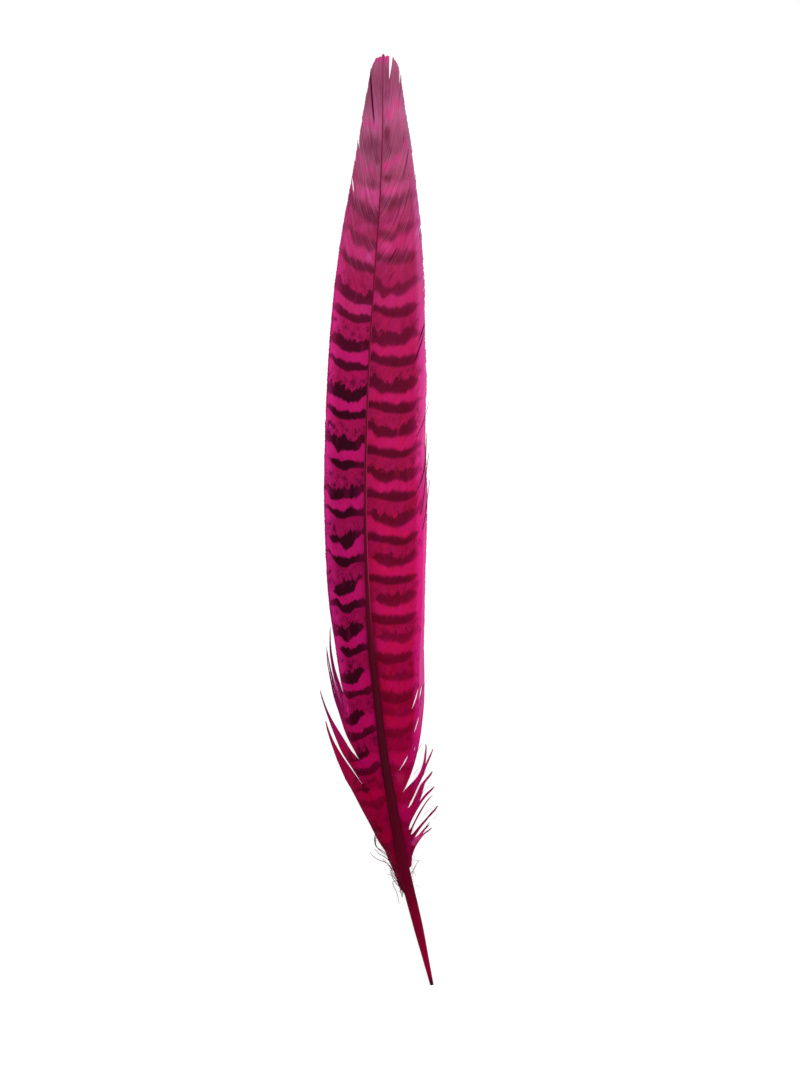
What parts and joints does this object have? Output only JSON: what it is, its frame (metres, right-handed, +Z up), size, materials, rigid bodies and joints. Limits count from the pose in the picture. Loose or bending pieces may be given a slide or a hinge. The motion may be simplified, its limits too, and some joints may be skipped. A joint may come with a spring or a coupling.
{
  "type": "pheasant tail feather",
  "caption": "Long, narrow, barred tail feather, dyed magenta, with a bare quill and loose locks at the foot of its vane, lying flat with its patterned side up.",
  "frame": {"origin": "centre of the feather's outline seen from above, on the surface that it lies on", "axes": "+Y along the feather towards its tip, +Z up out of its patterned side, +X to the right seen from above"},
  "size_m": [0.033, 0.2704, 0.0053],
  "materials": {
    "dyed_vane": "dyed barbs, soft satin, magenta with near-black purple bars",
    "dyed_shaft": "smooth dyed keratin, satin, dark crimson"
  },
  "bodies": {
    "root": {"feather": "dyed_vane"}
  },
  "joints": []
}
